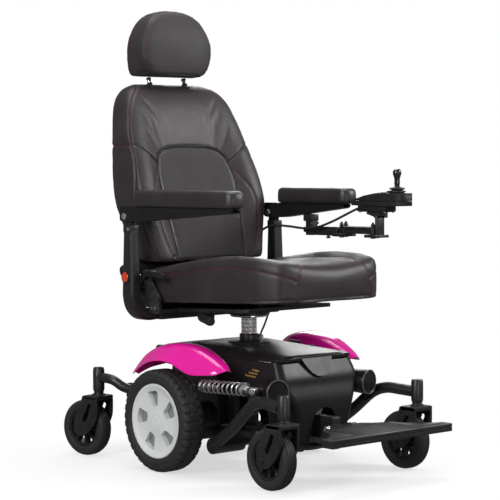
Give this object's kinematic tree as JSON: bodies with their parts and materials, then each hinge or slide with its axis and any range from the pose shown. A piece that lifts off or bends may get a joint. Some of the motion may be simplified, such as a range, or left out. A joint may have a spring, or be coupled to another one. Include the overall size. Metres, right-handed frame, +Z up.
{
  "type": "power wheelchair",
  "caption": "Mid-wheel-drive power wheelchair: contoured captain seat on a swivelling height post, flip-up arms, swing-away joystick, sprung front casters and folding footplate.",
  "frame": {"origin": "on the floor, below the middle of the chair's bounding box", "axes": "+Z up, -Y is the front that the user faces, +X is the user's left (joystick side)"},
  "size_m": [0.66, 1.1575, 1.396],
  "materials": {
    "frame_black": "satin",
    "gloss_black": "gloss",
    "moulded_black": "matte",
    "motor_case": "satin",
    "grey_plastic": "satin",
    "tyre_rubber": "matte",
    "wheel_cap": "satin",
    "magenta_gloss": "gloss",
    "chrome": "polished",
    "vinyl": "satin",
    "arm_foam": "matte",
    "reflector": "gloss",
    "cable_black": "satin",
    "battery_case": "matte"
  },
  "bodies": {
    "base": {"chassis_frame": "frame_black", "battery_box": "battery_case", "gearmotor_left": "motor_case", "gearmotor_right": "motor_case", "shroud_body": "gloss_black", "shroud_lid": "gloss_black", "fender_left": "magenta_gloss", "fender_right": "magenta_gloss", "rear_arm_left": "frame_black", "rear_arm_right": "frame_black", "pedestal_socket": "frame_black", "suspension_spring_left": "chrome", "suspension_spring_right": "chrome", "seat_cable": "cable_black"},
    "drive_wheel_left": {"drive_tyre_left": "tyre_rubber", "drive_hub_left": "wheel_cap"},
    "drive_wheel_right": {"drive_tyre_right": "tyre_rubber", "drive_hub_right": "wheel_cap"},
    "front_arm_left": {"front_arm_left": "frame_black"},
    "front_arm_right": {"front_arm_right": "frame_black"},
    "caster_swivel_front_left": {"caster_fork_front_left": "moulded_black"},
    "caster_wheel_front_left": {"caster_tyre_front_left": "tyre_rubber", "caster_hub_front_left": "grey_plastic"},
    "caster_swivel_front_right": {"caster_fork_front_right": "moulded_black"},
    "caster_wheel_front_right": {"caster_tyre_front_right": "tyre_rubber", "caster_hub_front_right": "grey_plastic"},
    "caster_swivel_rear_left": {"caster_fork_rear_left": "moulded_black"},
    "caster_wheel_rear_left": {"caster_tyre_rear_left": "tyre_rubber", "caster_hub_rear_left": "grey_plastic"},
    "caster_swivel_rear_right": {"caster_fork_rear_right": "moulded_black"},
    "caster_wheel_rear_right": {"caster_tyre_rear_right": "tyre_rubber", "caster_hub_rear_right": "grey_plastic"},
    "footplate": {"footplate": "moulded_black"},
    "seat_lift": {"seat_post": "chrome"},
    "seat": {"seat_frame": "frame_black", "seat_cushion": "vinyl", "armrest_post_left": "frame_black", "armrest_post_right": "frame_black", "reflector_left": "reflector", "reflector_right": "reflector", "controller_cable": "cable_black"},
    "swivel_lever": {"swivel_lever": "moulded_black"},
    "recline_lever": {"recline_lever": "moulded_black"},
    "backrest": {"backrest_shell": "moulded_black", "backrest_cushion": "vinyl"},
    "headrest": {"headrest_posts": "chrome", "headrest_cushion": "vinyl"},
    "armrest_left": {"armrest_bar_left": "frame_black", "arm_pad_left": "arm_foam", "controller_mount": "frame_black"},
    "armrest_right": {"armrest_bar_right": "frame_black", "arm_pad_right": "arm_foam"},
    "swing_link_outer": {"swing_link_outer": "frame_black"},
    "swing_link_inner": {"swing_link_inner": "frame_black"},
    "controller": {"controller_bracket": "frame_black", "controller_housing": "moulded_black"},
    "joystick_gimbal": {"joystick_gimbal": "moulded_black"},
    "joystick": {"joystick_handle": "moulded_black"},
    "power_button": {"power_button": "grey_plastic"},
    "speed_dial": {"speed_dial": "grey_plastic"}
  },
  "joints": [
    {"name": "drive_wheel_left", "type": "hinge", "parent": "base", "child": "drive_wheel_left", "pos_m": [0.292, 0.0885, 0.1525], "axis": [1, 0, 0], "continuous": true},
    {"name": "drive_wheel_right", "type": "hinge", "parent": "base", "child": "drive_wheel_right", "pos_m": [-0.292, 0.0885, 0.1525], "axis": [1, 0, 0], "continuous": true},
    {"name": "suspension_left", "type": "hinge", "parent": "base", "child": "front_arm_left", "pos_m": [0, -0.0725, 0.088], "axis": [1, 0, 0], "range_deg": [-6, 4], "stiffness_Nm_per_rad": 400, "springref_deg": 1.72, "deforming": ["suspension_spring_left"]},
    {"name": "suspension_right", "type": "hinge", "parent": "base", "child": "front_arm_right", "pos_m": [0, -0.0725, 0.088], "axis": [1, 0, 0], "range_deg": [-6, 4], "stiffness_Nm_per_rad": 400, "springref_deg": 1.72, "deforming": ["suspension_spring_right"]},
    {"name": "caster_swivel_front_left", "type": "hinge", "parent": "front_arm_left", "child": "caster_swivel_front_left", "pos_m": [0.268, -0.4115, 0.2], "axis": [0, 0, 1], "continuous": true},
    {"name": "caster_wheel_front_left", "type": "hinge", "parent": "caster_swivel_front_left", "child": "caster_wheel_front_left", "pos_m": [0.268, -0.3615, 0.087], "axis": [1, 0, 0], "continuous": true},
    {"name": "caster_swivel_front_right", "type": "hinge", "parent": "front_arm_right", "child": "caster_swivel_front_right", "pos_m": [-0.268, -0.4115, 0.2], "axis": [0, 0, 1], "continuous": true},
    {"name": "caster_wheel_front_right", "type": "hinge", "parent": "caster_swivel_front_right", "child": "caster_wheel_front_right", "pos_m": [-0.268, -0.3615, 0.087], "axis": [1, 0, 0], "continuous": true},
    {"name": "caster_swivel_rear_left", "type": "hinge", "parent": "base", "child": "caster_swivel_rear_left", "pos_m": [0.268, 0.4415, 0.2], "axis": [0, 0, 1], "continuous": true},
    {"name": "caster_wheel_rear_left", "type": "hinge", "parent": "caster_swivel_rear_left", "child": "caster_wheel_rear_left", "pos_m": [0.268, 0.4915, 0.087], "axis": [1, 0, 0], "continuous": true},
    {"name": "caster_swivel_rear_right", "type": "hinge", "parent": "base", "child": "caster_swivel_rear_right", "pos_m": [-0.268, 0.4415, 0.2], "axis": [0, 0, 1], "continuous": true},
    {"name": "caster_wheel_rear_right", "type": "hinge", "parent": "caster_swivel_rear_right", "child": "caster_wheel_rear_right", "pos_m": [-0.27754, 0.49058, 0.087], "axis": [0.9816, 0.1908, 0], "continuous": true},
    {"name": "footplate_fold", "type": "hinge", "parent": "base", "child": "footplate", "pos_m": [0, -0.3635, 0.148], "axis": [1, 0, 0], "range_deg": [-80, 0]},
    {"name": "seat_height", "type": "slide", "parent": "base", "child": "seat_lift", "axis": [0, 0, 1], "range_m": [0, 0.05], "deforming": ["seat_cable"]},
    {"name": "seat_swivel", "type": "hinge", "parent": "seat_lift", "child": "seat", "pos_m": [0, 0.0355, 0.454], "axis": [0, 0, 1], "range_deg": [-90, 90], "deforming": ["seat_cable"]},
    {"name": "swivel_lever", "type": "hinge", "parent": "seat", "child": "swivel_lever", "pos_m": [-0.146, 0.0485, 0.4565], "axis": [0, 1, 0], "range_deg": [0, 8], "stiffness_Nm_per_rad": 0.5, "springref_deg": -5.73},
    {"name": "recline_lever", "type": "hinge", "parent": "seat", "child": "recline_lever", "pos_m": [-0.262, 0.2155, 0.577], "axis": [1, 0, 0], "range_deg": [-20, 0], "stiffness_Nm_per_rad": 0.2, "springref_deg": 5.73},
    {"name": "backrest_recline", "type": "hinge", "parent": "seat", "child": "backrest", "pos_m": [0, 0.2385, 0.54], "axis": [1, 0, 0], "range_deg": [-45, 8]},
    {"name": "headrest_height", "type": "slide", "parent": "backrest", "child": "headrest", "axis": [0, 0.2924, 0.9563], "range_m": [0, 0.05]},
    {"name": "armrest_flip_left", "type": "hinge", "parent": "seat", "child": "armrest_left", "pos_m": [0.292, 0.2485, 0.754], "axis": [1, 0, 0], "range_deg": [-92, 0], "deforming": ["controller_cable"]},
    {"name": "armrest_flip_right", "type": "hinge", "parent": "seat", "child": "armrest_right", "pos_m": [-0.292, 0.2485, 0.754], "axis": [1, 0, 0], "range_deg": [-92, 0]},
    {"name": "controller_swing", "type": "hinge", "parent": "armrest_left", "child": "swing_link_outer", "pos_m": [0.309, -0.0715, 0.699], "axis": [0, 0, 1], "range_deg": [0, 90], "deforming": ["controller_cable"]},
    {"name": "swing_link_inner", "type": "hinge", "parent": "armrest_left", "child": "swing_link_inner", "pos_m": [0.273, -0.0895, 0.699], "axis": [0, 0, 1], "range_deg": [0, 90]},
    {"name": "controller_parallel", "type": "hinge", "parent": "swing_link_outer", "child": "controller", "pos_m": [0.309, -0.2065, 0.699], "axis": [0, 0, 1], "range_deg": [-90, 0]},
    {"name": "joystick_left_right", "type": "hinge", "parent": "controller", "child": "joystick_gimbal", "pos_m": [0.291, -0.3085, 0.817], "axis": [0, 1, 0], "range_deg": [-16, 16], "stiffness_Nm_per_rad": 0.08},
    {"name": "joystick_fore_aft", "type": "hinge", "parent": "joystick_gimbal", "child": "joystick", "pos_m": [0.291, -0.3085, 0.817], "axis": [1, 0, 0], "range_deg": [-16, 16], "stiffness_Nm_per_rad": 0.08},
    {"name": "power_button_press", "type": "slide", "parent": "controller", "child": "power_button", "axis": [0, 0, 1], "range_m": [-0.0012, 0], "stiffness_N_per_m": 400, "springref_m": 0.0005},
    {"name": "speed_dial_turn", "type": "hinge", "parent": "controller", "child": "speed_dial", "pos_m": [0.303, -0.2655, 0.82], "axis": [0, 0, 1], "range_deg": [-135, 135]}
  ],
  "couplings": [
    {"joint": "swing_link_inner", "follows": "controller_swing", "ratio": 1},
    {"joint": "controller_parallel", "follows": "controller_swing", "ratio": -1}
  ]
}
